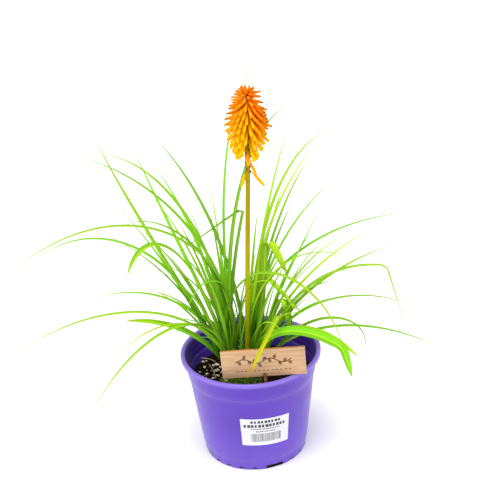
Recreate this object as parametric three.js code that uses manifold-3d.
// A red hot poker (Kniphofia) in a thin-walled violet nursery pot, with its name board and sticker.
// Millimetres, +Z up. The origin is the centre of the pot's underside, on the ground.
// Headings are degrees turned from +X (the right side) towards +Y (the back).

import * as THREE from "three";
import { mergeVertices } from "three/addons/utils/BufferGeometryUtils.js";
import Module from "manifold-3d";

const wasm = await Module();
wasm.setup();

// Driving dimensions of the pot
const POT_HEIGHT = 137;
const RIM_RADIUS = 87.5;
const LIP_HEIGHT = 6;
const FOOT_RADIUS = 64.5;
const WALL_TOP_RADIUS = 81;
const WALL = 1.3;
const SHOULDER_HEIGHT = 110;
const SHOULDER_STEP = 1;
const BASE_RIDGE_HEIGHT = 15;
const BASE_RIDGE_STEP = 0.6;
const FOOT_RING_WIDTH = 4.5;
const UNDERSIDE_HEIGHT = 3.5;
const FLOOR_HEIGHT = 5;
const CENTRE_PAD_RADIUS = 14;
const POT_SIDES = 48;

// Drain notches and the small scallops of the foot
const DRAIN_COUNT = 4;
const DRAIN_HEADING = 290;
const DRAIN_WIDTH = 22;
const DRAIN_HEIGHT = 4.6;
const DRAIN_DEPTH = 14;
const DRAIN_HOLE = { inner: 56, outer: 62.5, width: 14 }; // radii and width of the opening over a notch
const SCALLOP_COUNT = 24;
const SCALLOP_WIDTH = 3;
const SCALLOP_HEIGHT = 1.4;

// Soil
const GAP = 0.3;
const SOIL_LEVEL = 99;
const SOIL_MOUND = 2.5;
const SOIL_CLOD = 0.9;
const SOIL_RINGS = 7;
const SOIL_SIDES = 32;
const MOUND_SPREAD = 34;
const FLAT_ALLOWANCE = 0.2; // how far the flats between two corners come inside a round

// Bits in the soil: white perlite grains and flat bark chips
const BIT_COUNT = 22;
const BIT_REACH = 70;
const BIT_CLEAR = 0.12; // share of that reach's disc, at its middle, that the clump keeps clear
const BIT_SMALLEST = 1.6;
const BIT_LARGEST = 3.8;
const CHIP_EVERY = 3;
const CHIP = { length: 3.4, width: 1.7, thickness: 1.5 }; // length and width as multiples of the size

// Holes in the soil that the stems and the stake stand in
const HOLE_FLOOR = 86;
const HOLE_SLACK = 0.45;
const HOLE_SIDES = 8;

// Clump: where its shoots stand on the soil, round the middle of the clump
const CLUMP_X = -13;
const CLUMP_Y = 4;
const CLUMP_RADIUS = 19;
const SHEATH_RADIUS = 6.8;
const SHEATH_FOOT_SHARE = 0.7;
const SHEATH_SHOULDER = 105;
const SHEATH_TOP = 113;
const LEAF_ROOT = 98;
const LEAF_ROOT_REACH = 3.5;
const SMALL_LEAF = {
  shortest: 130, longest: 260, steepest: 84, widestRise: 72, firmest: 60, limpest: 0, bend: 1.4,
  narrowest: 5, broadest: 7.5,
};
const BLADE_FOLD = 0.4; // height of a blade's edges over its keel, as a share of its half width
const BLADE_LEAST_WIDTH = 0.9;
const BLADE_ROOT_SHARE = 0.86; // width at the root, as a share of the full width
const BLADE_FULL_AT = 0.12; // share of the length at which a blade reaches its full width
const BROAD_FROM = 8; // blades of this width and more stay broad nearly to their tips
const LATE_TAPER = { slender: 2, broad: 3.2, roundness: 0.82 };
const BLADE_ROOT_THICKNESS = 1.5;
const BLADE_TIP_THICKNESS = 0.9;
const BLADE_STEPS = 4.5;
const TURN_PER_STEP = 27;
const CREASE_REACH = 7; // length of blade on either side of a crease in which it folds over
const CREASE_STEPS = 4;

// Flower stalk and head
const STALK_RADIUS = 2.9;
const STALK_FOOT = new THREE.Vector3(-6.7, 4, HOLE_FLOOR);
const STALK_TOP = new THREE.Vector3(8.6, 4, 356);
const HEAD_TOP = new THREE.Vector3(13.6, 4, 463);
const RACHIS_SWELL = 3.4;
const RACHIS_SWELL_AT = 0.6;
const RACHIS_TIP = 1;
const FLORET_COUNT = 70;
const FIRST_FLORET = 0.51; // share of the rachis at which the crowded florets start
const LAST_FLORET = 0.985;
const FLORET_LENGTH = { oldest: 31, youngest: 7, spread: 0.12, fullUntil: 0.45 };
const FLORET_SLOPE = { oldest: -60, rise: 55, crownFrom: 0.8, crownRise: 65, spread: 10 };
const FLORET_MOUTH = { oldest: 2.2, youngest: 1.4 };
const STRAY_MOUTH = 1.9;
const GOLDEN_TURN = 137.508;

// Name board, its stake, and the sticker on the wall
const BOARD = { width: 100, height: 35.5, thickness: 4 };
const BOARD_CENTRE = new THREE.Vector3(14.8, -63.5, 153.4);
const BOARD_TURN = -3.4;
const BOARD_LEAN = -2.5;
const BOARD_TILT = -2.5;
const STAKE = { x: 0.5, thickness: 3.6, depth: 8, point: 9 };
const HALVING = { slot: 2.8, prong: 5.2 }; // heights over the board's lower edge
const STICKER = { left: -13.3, right: 34, bottom: 40.4, height: 41, drop: 2.6, thickness: 0.3 };

const radians = THREE.MathUtils.degToRad;
const TURN = Math.PI * 2;

// An even, unrepeating spread of values from 0 to 1, so that each draw is the same every time
function spread(index, salt) {
  const value = index * 0.6180339887 + salt * 0.7548776662;
  return value - Math.floor(value);
}

// Solids

function toSolid(geometry) {
  const plain = geometry.clone();
  plain.deleteAttribute("normal");
  plain.deleteAttribute("uv");
  const merged = mergeVertices(plain, 1e-4);
  const vertProperties = Float32Array.from(merged.attributes.position.array);
  const triVerts = Uint32Array.from(merged.index.array);
  return new wasm.Manifold(new wasm.Mesh({ numProp: 3, vertProperties, triVerts }));
}

function toGeometry(solid) {
  const mesh = solid.getMesh();
  const geometry = new THREE.BufferGeometry();
  geometry.setAttribute("position", new THREE.BufferAttribute(Float32Array.from(mesh.vertProperties), 3));
  geometry.setIndex(new THREE.BufferAttribute(Uint32Array.from(mesh.triVerts), 1));
  geometry.computeVertexNormals();
  return geometry;
}

function fuse(solids) {
  let pile = solids;
  while (pile.length > 1) {
    const next = [];
    for (let i = 0; i + 1 < pile.length; i += 2) next.push(pile[i].add(pile[i + 1]));
    if (pile.length % 2) next.push(pile[pile.length - 1]);
    pile = next;
  }
  return pile[0];
}

// The one body of a fused solid: hollows that the fusing sealed are filled, and scraps are dropped
function soundBody(solid) {
  const bodies = solid.decompose();
  return bodies.reduce((best, body) => (body.volume() > best.volume() ? body : best));
}

function piece(name, geometry, color, roughness) {
  const material = new THREE.MeshStandardMaterial({ color, roughness, metalness: 0, flatShading: true });
  const mesh = new THREE.Mesh(geometry, material);
  mesh.name = name;
  return mesh;
}

function mix(from, to, share) {
  return from + (to - from) * share;
}

// A solid turned from (radius, height) points that run up outside and back down inside
function turned(points, sides) {
  const geometry = new THREE.LatheGeometry(points.map(([r, z]) => new THREE.Vector2(r, z)), sides);
  geometry.rotateX(Math.PI / 2);
  return geometry;
}

// A closed skin over rings of four points each (left edge, keel, right edge, channel) and a tip.
// Every cell is split from its edge point to the next ring's middle point, alike on both faces.
function bladeGeometry(rings, tip) {
  const positions = [...rings.flat(), tip].flatMap((p) => [p.x, p.y, p.z]);
  const index = [];
  const quad = (a, b, c, d, fromA) => {
    if (fromA) index.push(a, c, b, a, d, c);
    else index.push(a, d, b, b, d, c);
  };
  const last = rings.length - 1;
  for (let k = 0; k < last; k += 1) {
    const here = 4 * k;
    const next = here + 4;
    for (let side = 0; side < 4; side += 1) {
      const other = (side + 1) % 4;
      quad(here + side, here + other, next + other, next + side, side % 2 === 0);
    }
  }
  index.push(0, 1, 2, 0, 2, 3);
  const end = 4 * last;
  for (let side = 0; side < 4; side += 1) index.push(end + side, end + 4, end + ((side + 1) % 4));
  const geometry = new THREE.BufferGeometry();
  geometry.setAttribute("position", new THREE.Float32BufferAttribute(positions, 3));
  geometry.setIndex(index);
  return geometry;
}

// Pot

function wallRadius(z) {
  const slope = (WALL_TOP_RADIUS - FOOT_RADIUS) / (POT_HEIGHT - LIP_HEIGHT);
  let radius = FOOT_RADIUS + slope * z;
  if (z >= BASE_RIDGE_HEIGHT) radius += BASE_RIDGE_STEP;
  if (z >= SHOULDER_HEIGHT) radius += SHOULDER_STEP;
  return radius;
}

function potGeometry() {
  const lip = POT_HEIGHT - LIP_HEIGHT;
  const below = 0.01;
  const outside = [
    [0, 0],
    [CENTRE_PAD_RADIUS, 0],
    [CENTRE_PAD_RADIUS + 1.5, UNDERSIDE_HEIGHT],
    [FOOT_RADIUS - FOOT_RING_WIDTH - 1.5, UNDERSIDE_HEIGHT],
    [FOOT_RADIUS - FOOT_RING_WIDTH, 0],
    [FOOT_RADIUS - 0.6, 0],
    [FOOT_RADIUS, 0.7],
    [wallRadius(BASE_RIDGE_HEIGHT - below), BASE_RIDGE_HEIGHT - 0.5],
    [wallRadius(BASE_RIDGE_HEIGHT), BASE_RIDGE_HEIGHT + 0.3],
    [wallRadius(SHOULDER_HEIGHT - below), SHOULDER_HEIGHT - 0.8],
    [wallRadius(SHOULDER_HEIGHT), SHOULDER_HEIGHT + 0.4],
    [wallRadius(lip), lip],
  ];
  const rim = [
    [RIM_RADIUS - 0.6, lip],
    [RIM_RADIUS, lip + 0.9],
    [RIM_RADIUS, POT_HEIGHT - 2],
    [RIM_RADIUS - 0.8, POT_HEIGHT - 0.6],
    [RIM_RADIUS - 2.4, POT_HEIGHT],
    [RIM_RADIUS - 4.2, POT_HEIGHT - 0.4],
    [RIM_RADIUS - 5.4, POT_HEIGHT - 1.8],
  ];
  const inside = [
    [wallRadius(lip) - WALL, lip - 1],
    [wallRadius(SHOULDER_HEIGHT) - WALL, SHOULDER_HEIGHT + 1.4],
    [wallRadius(SHOULDER_HEIGHT - below) - WALL, SHOULDER_HEIGHT],
    [wallRadius(FLOOR_HEIGHT) - WALL, FLOOR_HEIGHT],
    [0, FLOOR_HEIGHT],
  ];
  let solid = toSolid(turned([...outside, ...rim, ...inside], POT_SIDES));
  const cutters = [];
  for (let i = 0; i < DRAIN_COUNT; i += 1) {
    const cutter = new THREE.BoxGeometry(DRAIN_DEPTH, DRAIN_WIDTH, 2 * DRAIN_HEIGHT);
    cutter.translate(FOOT_RADIUS + 1, 0, 0);
    const holeDepth = DRAIN_HOLE.outer - DRAIN_HOLE.inner;
    const hole = new THREE.BoxGeometry(holeDepth, DRAIN_HOLE.width, 4 * FLOOR_HEIGHT);
    hole.translate((DRAIN_HOLE.outer + DRAIN_HOLE.inner) / 2, 0, 0);
    for (const part of [cutter, hole]) {
      part.rotateZ(radians(DRAIN_HEADING) + (TURN * i) / DRAIN_COUNT);
      cutters.push(toSolid(part));
    }
  }
  for (let i = 0; i < SCALLOP_COUNT; i += 1) {
    const cutter = new THREE.BoxGeometry(12, SCALLOP_WIDTH, 2 * SCALLOP_HEIGHT);
    cutter.translate(FOOT_RADIUS, 0, 0);
    cutter.rotateZ(radians(DRAIN_HEADING + 7.5) + (TURN * i) / SCALLOP_COUNT);
    cutters.push(toSolid(cutter));
  }
  solid = solid.subtract(fuse(cutters));
  return toGeometry(solid);
}

// Soil

function soilHeight(x, y) {
  const fromClump = Math.hypot(x - CLUMP_X, y - CLUMP_Y);
  const mound = SOIL_MOUND * Math.exp(-((fromClump / MOUND_SPREAD) ** 2));
  const clods = Math.sin(x * 0.23 + 1.7 * Math.sin(y * 0.11)) * Math.cos(y * 0.27 + 1.3 * Math.sin(x * 0.09));
  return SOIL_LEVEL + mound + SOIL_CLOD * clods;
}

function soilBody() {
  const inset = WALL + GAP + FLAT_ALLOWANCE;
  const bottom = FLOOR_HEIGHT + GAP;
  const topRadius = wallRadius(SOIL_LEVEL) - inset;
  const profile = [[0, bottom], [wallRadius(bottom) - inset, bottom], [topRadius, SOIL_LEVEL]];
  for (let ring = SOIL_RINGS - 1; ring >= 0; ring -= 1) {
    profile.push([(topRadius * ring) / SOIL_RINGS, SOIL_LEVEL]);
  }
  const geometry = turned(profile, SOIL_SIDES);
  const place = geometry.attributes.position;
  for (let i = 0; i < place.count; i += 1) {
    if (place.getZ(i) > SOIL_LEVEL - 1) place.setZ(i, soilHeight(place.getX(i), place.getY(i)));
  }
  return toSolid(geometry);
}

function bitGeometry(size, isChip) {
  if (!isChip) return new THREE.OctahedronGeometry(size);
  return new THREE.BoxGeometry(CHIP.length * size, CHIP.width * size, CHIP.thickness);
}

// Each bit lies half sunk in the soil, tipped a little and turned any way
function soilBits() {
  const mostTip = 0.5;
  const bits = [];
  for (let i = 0; i < BIT_COUNT; i += 1) {
    const reach = BIT_REACH * Math.sqrt(mix(BIT_CLEAR, 1, spread(i, 1)));
    const heading = TURN * spread(i, 2);
    const x = reach * Math.cos(heading);
    const y = reach * Math.sin(heading);
    const size = mix(BIT_SMALLEST, BIT_LARGEST, spread(i, 3));
    const shape = bitGeometry(size, i % CHIP_EVERY === 0);
    shape.rotateX(mostTip * spread(i, 4));
    shape.rotateZ(TURN * spread(i, 5));
    shape.translate(x, y, soilHeight(x, y) + 0.2 * size);
    bits.push(toSolid(shape));
  }
  return fuse(bits);
}

function roundHole(x, y, radius) {
  const height = 40;
  const cutter = new THREE.CylinderGeometry(radius, radius, height, HOLE_SIDES);
  cutter.rotateX(Math.PI / 2);
  cutter.translate(x, y, HOLE_FLOOR - GAP + height / 2);
  return toSolid(cutter);
}

// The stalk leans, so its hole is centred on it half way down and is wide enough for both ends
function stalkHole() {
  const depth = SOIL_LEVEL - HOLE_FLOOR;
  const share = depth / 2 / (STALK_TOP.z - STALK_FOOT.z);
  const middle = new THREE.Vector3().lerpVectors(STALK_FOOT, STALK_TOP, share);
  return roundHole(middle.x, middle.y, STALK_RADIUS + 2 * HOLE_SLACK);
}

function stakeHole() {
  const height = BOARD_CENTRE.z - HOLE_FLOOR;
  const cutter = new THREE.BoxGeometry(
    STAKE.thickness + 2 * HOLE_SLACK,
    STAKE.depth + 2 * HOLE_SLACK,
    height,
  );
  cutter.translate(STAKE.x, 0, -height / 2 - GAP);
  cutter.applyMatrix4(labelGroup().matrix);
  return toSolid(cutter);
}

function soilGeometry(shoots) {
  const holes = shoots.map((shoot) => roundHole(shoot.x, shoot.y, SHEATH_RADIUS + HOLE_SLACK));
  holes.push(stalkHole(), stakeHole());
  return toGeometry(soundBody(soilBody().add(soilBits()).subtract(fuse(holes))));
}

// Leaves

// Each leaf is a long keeled blade that follows one bending line:
// heading, and its change on the way to the tip, in degrees; length along the blade; the slope at
// which it rises from the shoot, the slope at its tip, and how late it bends (1 is an even bend).
// A creased leaf has folded over: at which share of its length, its slope past the crease, and
// how far its heading turns there.
const leaf = (heading, sweep, length, rise, fall, bend, width, crease) =>
  ({ heading, sweep, length, rise, fall, bend, width, crease });
const crease = (at, slope, turn) => ({ at, slope, turn });

// Shoots of the clump: where each stands (its heading from the middle of the clump and its share of
// the clump's radius), the small leaves (from and to which heading, and how many), and the long leaves
const SHOOTS = [
  {
    name: "shoot_right",
    place: [0, 1],
    small: [-22, 10, 6],
    leaves: [
      leaf(351, 9, 250, 85, 29, 0.8, 7),
      leaf(11, 4, 230, 79, 16, 1.5, 5.5),
      leaf(355, 3, 250, 81, 18, 0.8, 7.5),
      leaf(341, -11, 325, 74, -31, 1.6, 7.5, crease(0.79, -71, -7)),
      leaf(7, -7, 255, 94, -47, 1.9, 5),
      leaf(339, -1, 255, 76, -15, 1.1, 6),
      leaf(348, 18, 210, 58, -133, 2.3, 7),
      leaf(352, 17, 170, 81, 47, 1.5, 8, crease(0.65, -68, 59)),
      leaf(20, -1, 225, 85, 83, 1, 9, crease(0.79, -67, -27)),
      leaf(341, 0, 155, 79, 63, 1.3, 8.5, crease(0.73, -82, -2)),
      leaf(9, -2, 190, 90, 73, 1, 8.5, crease(0.69, -45, -31)),
    ],
  },
  {
    name: "shoot_back_right",
    place: [60, 1],
    small: [40, 85, 5],
    leaves: [
      leaf(354, 3, 325, 100, 2, 0.8, 7),
      leaf(20, -2, 230, 67, 57, 1.3, 5),
      leaf(32, -1, 275, 86, 24, 1.2, 6),
      leaf(50, -1, 315, 86, 20, 1.4, 6.5),
      leaf(57, -10, 360, 81, -6, 2.1, 7),
      leaf(61, 2, 320, 79, 11, 1, 6),
      leaf(69, 5, 350, 82, 19, 0.8, 6),
      leaf(127, 0, 340, 90, 21, 1.1, 7),
    ],
  },
  {
    name: "shoot_back_left",
    place: [120, 1],
    small: [95, 145, 7],
    leaves: [
      leaf(125, -10, 310, 79, 9, 1.3, 6.5),
      leaf(127, -17, 355, 78, 24, 0.4, 7),
      leaf(137, 5, 375, 88, -12, 1.6, 7),
      leaf(96, -34, 415, 89, 32, 1.3, 7),
      leaf(76, -19, 405, 93, -3, 1.5, 7),
      leaf(48, 1, 330, 91, 54, 1, 6.5, crease(0.64, -37, 111)),
    ],
  },
  {
    name: "shoot_left",
    place: [180, 0.8],
    small: [160, 200, 5],
    leaves: [
      leaf(151, -3, 250, 65, 42, 1.4, 6),
      leaf(154, -35, 360, 77, 37, 0.5, 7.5),
      leaf(162, -6, 290, 92, -36, 2.2, 6.5),
      leaf(162, 6, 370, 100, 14, 1.1, 7),
      leaf(180, -5, 180, 91, 33, 1.3, 6),
      leaf(192, 2, 230, 85, -10, 1.2, 7),
      leaf(188, 12, 340, 74, -35, 2.4, 7.5),
      leaf(214, 3, 445, 107, -25, 1, 7.5),
      leaf(206, -7, 175, 77, 10, 0.9, 7),
      leaf(210, 30, 220, 105, -66, 2.2, 6),
      leaf(191, 0, 100, 89, 44, 1.7, 10),
    ],
  },
  {
    name: "shoot_front_left",
    place: [240, 1],
    small: [220, 260, 5],
    leaves: [
      leaf(213, -11, 325, 90, -23, 0.8, 7),
      leaf(208, 48, 345, 79, -28, 2.6, 8),
      leaf(226, -4, 240, 84, -27, 1.2, 6),
      leaf(244, -16, 325, 87, -42, 1, 7),
      leaf(313, 2, 350, 103, -80, 1.4, 7.5),
    ],
  },
  {
    name: "shoot_front_right",
    place: [300, 1],
    small: [285, 330, 5],
    leaves: [
      leaf(331, 1, 280, 68, -17, 0.9, 6.5),
      leaf(316, 9, 215, 81, -36, 1.2, 10),
      leaf(316, -11, 235, 98, -66, 2.3, 9),
      leaf(306, 13, 250, 89, -27, 0.9, 9, crease(0.85, -66, -10)),
      leaf(311, 0, 210, 74, 45, 0.9, 7, crease(0.61, -57, -103)),
    ],
  },
];

function placeShoots() {
  return SHOOTS.map((shoot) => {
    const [heading, reach] = shoot.place;
    const x = CLUMP_X + CLUMP_RADIUS * reach * Math.cos(radians(heading));
    const y = CLUMP_Y + CLUMP_RADIUS * reach * Math.sin(radians(heading));
    return { ...shoot, x, y };
  });
}

// The small upright leaves that crowd each shoot
function smallLeaves(shoot, shootIndex) {
  const [from, to, count] = shoot.small;
  const leaves = [];
  for (let i = 0; i < count; i += 1) {
    const draw = 10 * shootIndex + i;
    const heading = mix(from, to, (i + 0.5) / count);
    const length = mix(SMALL_LEAF.shortest, SMALL_LEAF.longest, spread(draw, 6));
    const rise = mix(SMALL_LEAF.steepest, SMALL_LEAF.widestRise, spread(draw, 7));
    const fall = mix(SMALL_LEAF.firmest, SMALL_LEAF.limpest, spread(draw, 8));
    const width = mix(SMALL_LEAF.narrowest, SMALL_LEAF.broadest, spread(draw, 9));
    leaves.push(leaf(heading, 0, length, rise, fall, SMALL_LEAF.bend, width));
  }
  return leaves;
}

// A blade widens a little from its root, and then narrows slowly to a long point
function bladeWidth(width, along) {
  const lateness = width < BROAD_FROM ? LATE_TAPER.slender : LATE_TAPER.broad;
  const taper = Math.max(0, 1 - along ** lateness) ** LATE_TAPER.roundness;
  const rootShare = mix(BLADE_ROOT_SHARE, 1, Math.min(1, along / BLADE_FULL_AT));
  return Math.max(BLADE_LEAST_WIDTH, width * taper * rootShare);
}

// The direction of a leaf at a share of its length from root to tip
function leafDirection(spec, along) {
  let heading = spec.heading + spec.sweep * along;
  let slope = mix(spec.rise, spec.fall, along ** spec.bend);
  if (spec.crease) {
    const reach = CREASE_REACH / spec.length;
    const folded = THREE.MathUtils.smoothstep(along, spec.crease.at - reach, spec.crease.at + reach);
    heading += spec.crease.turn * folded;
    slope = mix(slope, spec.crease.slope, folded);
  }
  heading = radians(heading);
  slope = radians(slope);
  const ahead = new THREE.Vector3(
    Math.cos(heading) * Math.cos(slope),
    Math.sin(heading) * Math.cos(slope),
    Math.sin(slope),
  );
  const side = new THREE.Vector3(Math.sin(heading), -Math.cos(heading), 0);
  return { ahead, side, up: new THREE.Vector3().crossVectors(side, ahead) };
}

// Shares of the length at which a leaf has a ring, closer together where it bends most
function leafStations(spec) {
  const turn = Math.abs(spec.fall - spec.rise) + Math.abs(spec.sweep);
  const steps = Math.round(BLADE_STEPS + turn / TURN_PER_STEP);
  const stations = [];
  for (let k = 0; k <= steps; k += 1) {
    const even = k / steps;
    stations.push((even + even ** (1 / spec.bend)) / 2);
  }
  if (!spec.crease) return stations;
  const reach = CREASE_REACH / spec.length;
  const clear = stations.filter((share) => Math.abs(share - spec.crease.at) > 1.4 * reach);
  for (let k = 0; k <= CREASE_STEPS; k += 1) {
    clear.push(spec.crease.at + reach * ((2 * k) / CREASE_STEPS - 1));
  }
  return clear.sort((a, b) => a - b);
}

function leafGeometry(spec) {
  const stations = leafStations(spec);
  const point = leafDirection(spec, 0).ahead.setZ(0).normalize().multiplyScalar(LEAF_ROOT_REACH);
  if (spec.rise > 90) point.negate();
  point.z = LEAF_ROOT;
  const rings = [];
  for (let k = 0; k + 1 < stations.length; k += 1) {
    const along = stations[k];
    const { side, up } = leafDirection(spec, along);
    const half = bladeWidth(spec.width, along) / 2;
    const fold = half * BLADE_FOLD;
    const thick = mix(BLADE_ROOT_THICKNESS, BLADE_TIP_THICKNESS, along) / 2;
    rings.push([
      point.clone().addScaledVector(side, -half).addScaledVector(up, fold),
      point.clone().addScaledVector(up, -thick),
      point.clone().addScaledVector(side, half).addScaledVector(up, fold),
      point.clone().addScaledVector(up, thick),
    ]);
    const span = stations[k + 1] - along;
    point.addScaledVector(leafDirection(spec, along + span / 2).ahead, spec.length * span);
  }
  return bladeGeometry(rings, point);
}

// The short stout base that holds a shoot's leaves together, and stands in its hole
function sheathGeometry() {
  const narrow = SHEATH_RADIUS * SHEATH_FOOT_SHARE;
  const profile = [
    [0, HOLE_FLOOR],
    [narrow, HOLE_FLOOR],
    [SHEATH_RADIUS, HOLE_FLOOR + 4],
    [SHEATH_RADIUS, SHEATH_SHOULDER],
    [narrow, SHEATH_TOP],
    [0, SHEATH_TOP + 2],
  ];
  return turned(profile, HOLE_SIDES);
}

function shootGeometry(shoot, shootIndex) {
  const leaves = [...shoot.leaves, ...smallLeaves(shoot, shootIndex)];
  const blades = leaves.map((spec) => toSolid(leafGeometry(spec)));
  return toGeometry(soundBody(fuse([toSolid(sheathGeometry()), ...blades])));
}

// Stalk and flower head

function tapered(from, to, startRadius, endRadius, sides) {
  const length = from.distanceTo(to);
  const geometry = new THREE.CylinderGeometry(endRadius, startRadius, length, sides);
  geometry.translate(0, length / 2, 0);
  const turn = new THREE.Quaternion().setFromUnitVectors(
    new THREE.Vector3(0, 1, 0),
    new THREE.Vector3().subVectors(to, from).normalize(),
  );
  geometry.applyQuaternion(turn);
  geometry.translate(from.x, from.y, from.z);
  return geometry;
}

// Old florets that hang loose below the crowded part: where along the rachis each one grows
const STRAY_FLORETS = [
  { heading: 185, slope: -70, length: 24, along: 0.165 },
  { heading: 340, slope: -72, length: 22, along: 0.27 },
  { heading: 12, slope: -55, length: 31, along: 0.18 },
  { heading: 270, slope: -79, length: 29, along: 0.46 },
];

// One tubular floret: narrow at its root, widest near its mouth, closed to a blunt point
function floretGeometry(length, mouth) {
  const sides = 5;
  return turned([[0, 0], [mouth / 2, 0], [mouth, length * 0.8], [0, length]], sides);
}

// heading and slope of the floret's axis in degrees, and the point of the rachis that it grows from
function setFloret(geometry, heading, slope, root) {
  geometry.rotateY(radians(90 - slope));
  geometry.rotateZ(radians(heading));
  geometry.translate(root.x, root.y, root.z);
  return toSolid(geometry);
}

// How far a floret leans up or down: the oldest hang, and those of the crown stand up
function floretSlope(up, index) {
  const crown = Math.max(0, up - FLORET_SLOPE.crownFrom) / (1 - FLORET_SLOPE.crownFrom);
  const sway = FLORET_SLOPE.spread * (spread(index, 11) - 0.5);
  return FLORET_SLOPE.oldest + FLORET_SLOPE.rise * up + FLORET_SLOPE.crownRise * crown ** 1.2 + sway;
}

function floretLength(up, index) {
  const shortened = Math.max(0, up - FLORET_LENGTH.fullUntil) / (1 - FLORET_LENGTH.fullUntil);
  const uneven = 1 + FLORET_LENGTH.spread * (spread(index, 12) - 0.5);
  return mix(FLORET_LENGTH.oldest, FLORET_LENGTH.youngest, shortened ** 2) * uneven;
}

function headGeometry() {
  const bottom = STALK_TOP.clone().add(new THREE.Vector3(0, 0, GAP));
  const rachisPoint = (along) => new THREE.Vector3().lerpVectors(bottom, HEAD_TOP, along);
  const sides = 10;
  const overlap = 0.02;
  const swell = rachisPoint(RACHIS_SWELL_AT);
  const solids = [
    toSolid(tapered(bottom, swell, STALK_RADIUS, RACHIS_SWELL, sides)),
    toSolid(tapered(rachisPoint(RACHIS_SWELL_AT - overlap), HEAD_TOP, RACHIS_SWELL, RACHIS_TIP, sides)),
  ];
  for (let i = 0; i < FLORET_COUNT; i += 1) {
    const up = (i / (FLORET_COUNT - 1)) ** 0.9;
    const mouth = mix(FLORET_MOUTH.oldest, FLORET_MOUTH.youngest, up);
    const floret = floretGeometry(floretLength(up, i), mouth);
    const root = rachisPoint(mix(FIRST_FLORET, LAST_FLORET, up));
    solids.push(setFloret(floret, i * GOLDEN_TURN, floretSlope(up, i), root));
  }
  for (const stray of STRAY_FLORETS) {
    const floret = floretGeometry(stray.length, STRAY_MOUTH);
    solids.push(setFloret(floret, stray.heading, stray.slope, rachisPoint(stray.along)));
  }
  return toGeometry(soundBody(fuse(solids)));
}

// Name board, its stake, and the sticker

// The frame that the board and its stake share, with its origin at the middle of the board
function labelGroup() {
  const group = new THREE.Group();
  group.position.copy(BOARD_CENTRE);
  group.rotation.set(radians(BOARD_LEAN), radians(BOARD_TILT), radians(BOARD_TURN), "ZXY");
  group.updateMatrix();
  return group;
}

function outline(points) {
  return new THREE.Shape(points.map(([across, up]) => new THREE.Vector2(across, up)));
}

// The board has a slot in its lower edge, which the stake's web fits
function boardGeometry() {
  const side = BOARD.width / 2;
  const top = BOARD.height / 2;
  const slotSide = STAKE.thickness / 2 + GAP;
  const slotTop = -top + HALVING.slot;
  const shape = outline([
    [-side, -top],
    [STAKE.x - slotSide, -top],
    [STAKE.x - slotSide, slotTop],
    [STAKE.x + slotSide, slotTop],
    [STAKE.x + slotSide, -top],
    [side, -top],
    [side, top],
    [-side, top],
  ]);
  const geometry = new THREE.ExtrudeGeometry(shape, { depth: BOARD.thickness, bevelEnabled: false });
  geometry.translate(0, 0, -BOARD.thickness / 2);
  geometry.rotateX(Math.PI / 2);
  return geometry;
}

// The stake stands across the board, seen edge on, and holds it between two prongs at its top
function stakeGeometry() {
  const side = STAKE.depth / 2;
  const boardBottom = -BOARD.height / 2;
  const prongTop = boardBottom + HALVING.prong;
  const webTop = boardBottom + HALVING.slot - GAP;
  const notchSide = BOARD.thickness / 2 + GAP;
  const foot = HOLE_FLOOR - BOARD_CENTRE.z;
  const shape = outline([
    [0, foot],
    [side, foot + STAKE.point],
    [side, prongTop],
    [notchSide, prongTop],
    [notchSide, webTop],
    [-notchSide, webTop],
    [-notchSide, prongTop],
    [-side, prongTop],
    [-side, foot + STAKE.point],
  ]);
  const geometry = new THREE.ExtrudeGeometry(shape, { depth: STAKE.thickness, bevelEnabled: false });
  geometry.translate(0, 0, -STAKE.thickness / 2);
  geometry.rotateX(Math.PI / 2);
  geometry.rotateZ(Math.PI / 2);
  geometry.translate(STAKE.x, 0, 0);
  return geometry;
}

function stickerGeometry() {
  const across = 12;
  const rings = [];
  for (let i = 0; i <= across; i += 1) {
    const part = i / across;
    const heading = radians(270 + STICKER.left + (STICKER.right - STICKER.left) * part);
    const low = STICKER.bottom + STICKER.drop * (0.5 - part);
    const ring = [];
    for (const [z, out] of [[low, 0], [low, 1], [low + STICKER.height, 1], [low + STICKER.height, 0]]) {
      const radius = wallRadius(z) + GAP + STICKER.thickness * out;
      ring.push(new THREE.Vector3(radius * Math.cos(heading), radius * Math.sin(heading), z));
    }
    rings.push(ring);
  }
  const positions = rings.flat().flatMap((p) => [p.x, p.y, p.z]);
  const index = [];
  for (let k = 0; k < across; k += 1) {
    for (let side = 0; side < 4; side += 1) {
      const a = 4 * k + side;
      const b = 4 * k + ((side + 1) % 4);
      index.push(a, b + 4, b, a, a + 4, b + 4);
    }
  }
  const end = 4 * across;
  index.push(0, 1, 2, 0, 2, 3, end, end + 2, end + 1, end, end + 3, end + 2);
  const geometry = new THREE.BufferGeometry();
  geometry.setAttribute("position", new THREE.Float32BufferAttribute(positions, 3));
  geometry.setIndex(index);
  return geometry;
}

// Assembly

const plant = new THREE.Group();
const shoots = placeShoots();
plant.add(piece("pot", potGeometry(), 0x7d5ad7, 0.42));
plant.add(piece("soil", soilGeometry(shoots), 0x2b1f18, 0.95));
shoots.forEach((shoot, index) => {
  const green = index % 2 ? 0x4f9a10 : 0x3f8a0c;
  const mesh = piece(shoot.name, shootGeometry(shoot, index), green, 0.5);
  mesh.position.set(shoot.x, shoot.y, 0);
  plant.add(mesh);
});
const stalk = tapered(STALK_FOOT, STALK_TOP, STALK_RADIUS, STALK_RADIUS, 12);
plant.add(piece("flower_stalk", stalk, 0xa88f10, 0.5));
plant.add(piece("flower_head", headGeometry(), 0xff9a10, 0.5));

const label = labelGroup();
label.add(piece("name_board", boardGeometry(), 0xd9b27c, 0.7));
label.add(piece("board_stake", stakeGeometry(), 0x9c6a3c, 0.8));
plant.add(label);
plant.add(piece("sticker", stickerGeometry(), 0xf3f1f5, 0.45));

export default plant;
